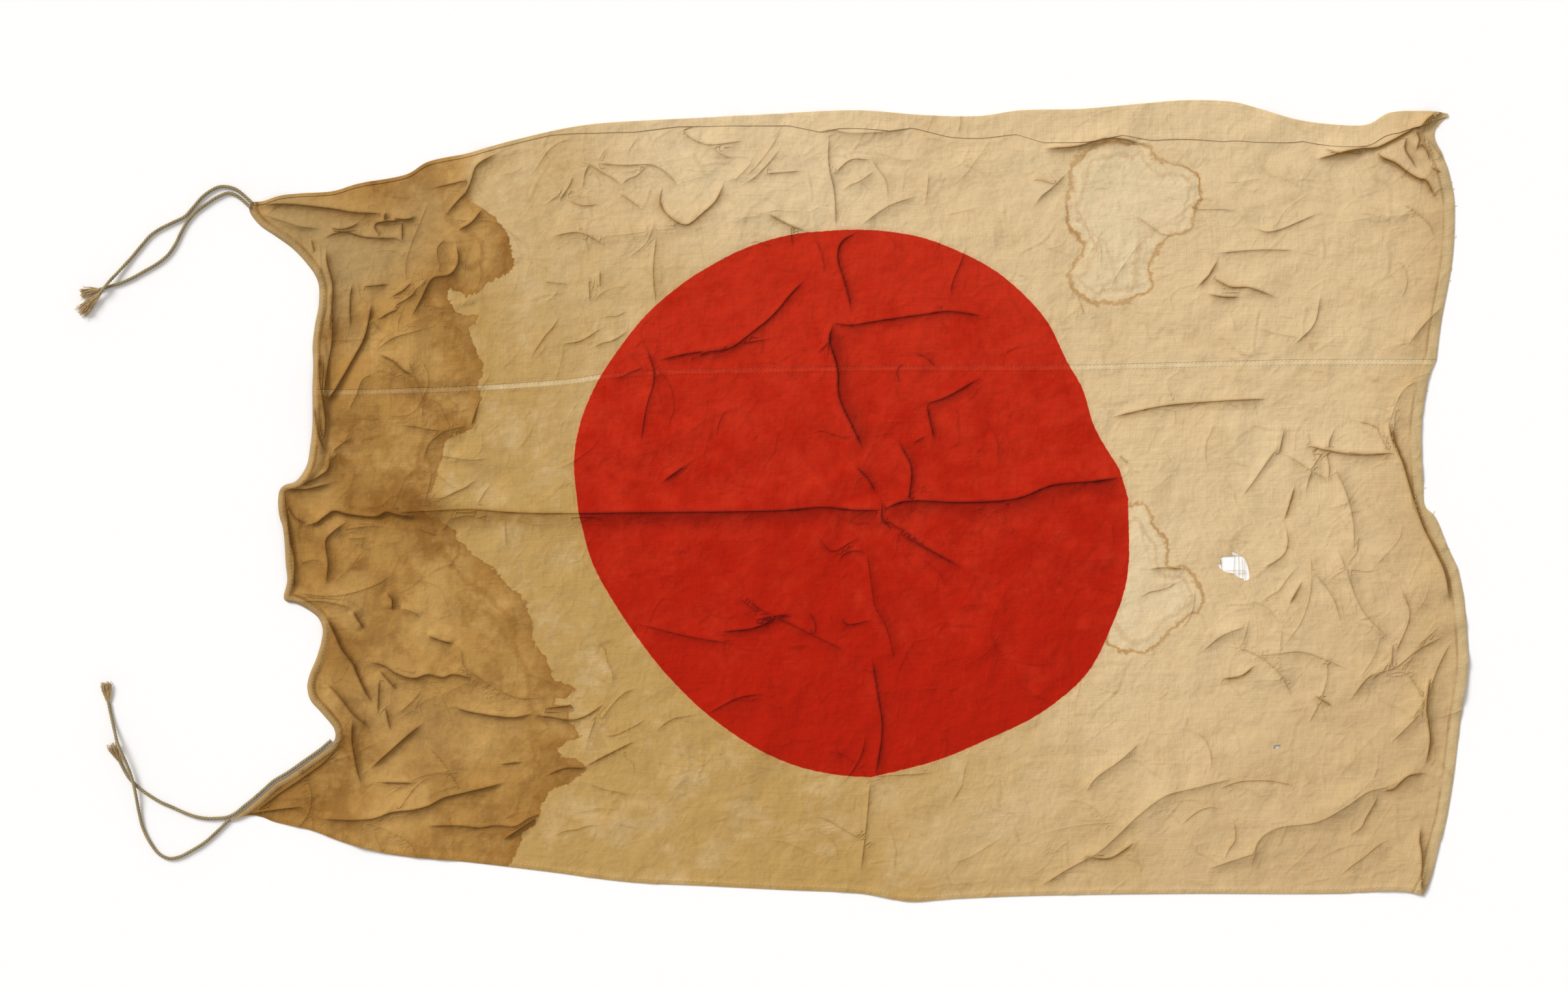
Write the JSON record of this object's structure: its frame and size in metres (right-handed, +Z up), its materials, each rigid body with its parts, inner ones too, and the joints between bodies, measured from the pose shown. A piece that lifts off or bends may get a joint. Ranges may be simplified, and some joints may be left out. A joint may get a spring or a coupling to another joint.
{
  "type": "worn cotton flag laid flat",
  "caption": "Old tan cotton flag with a large red disc, laid flat, creased, stained and holed, with its top margin turned over and frayed cord ties at the hoist corners.",
  "frame": {"origin": "on the surface it lies on, under the middle of the cloth", "axes": "+X from the hoist to the fly, +Y up the flag, +Z up from the surface"},
  "size_m": [1.7735, 1.022, 0.0146],
  "materials": {
    "cloth": "plain-woven cotton, aged to tan, with a dyed red disc, brown tide stains and soft creases",
    "cord": "twisted cotton cord, greyed with dirt and frayed at the ends"
  },
  "bodies": {
    "root": {"upper_panel": "cloth", "lower_panel": "cloth", "tie_upper_a": "cord", "tie_upper_b": "cord", "tie_lower_a": "cord", "tie_lower_b": "cord", "frayed_end_upper_a": "cord", "frayed_end_upper_b": "cord", "frayed_end_lower_a": "cord", "frayed_end_lower_b": "cord"}
  },
  "joints": []
}
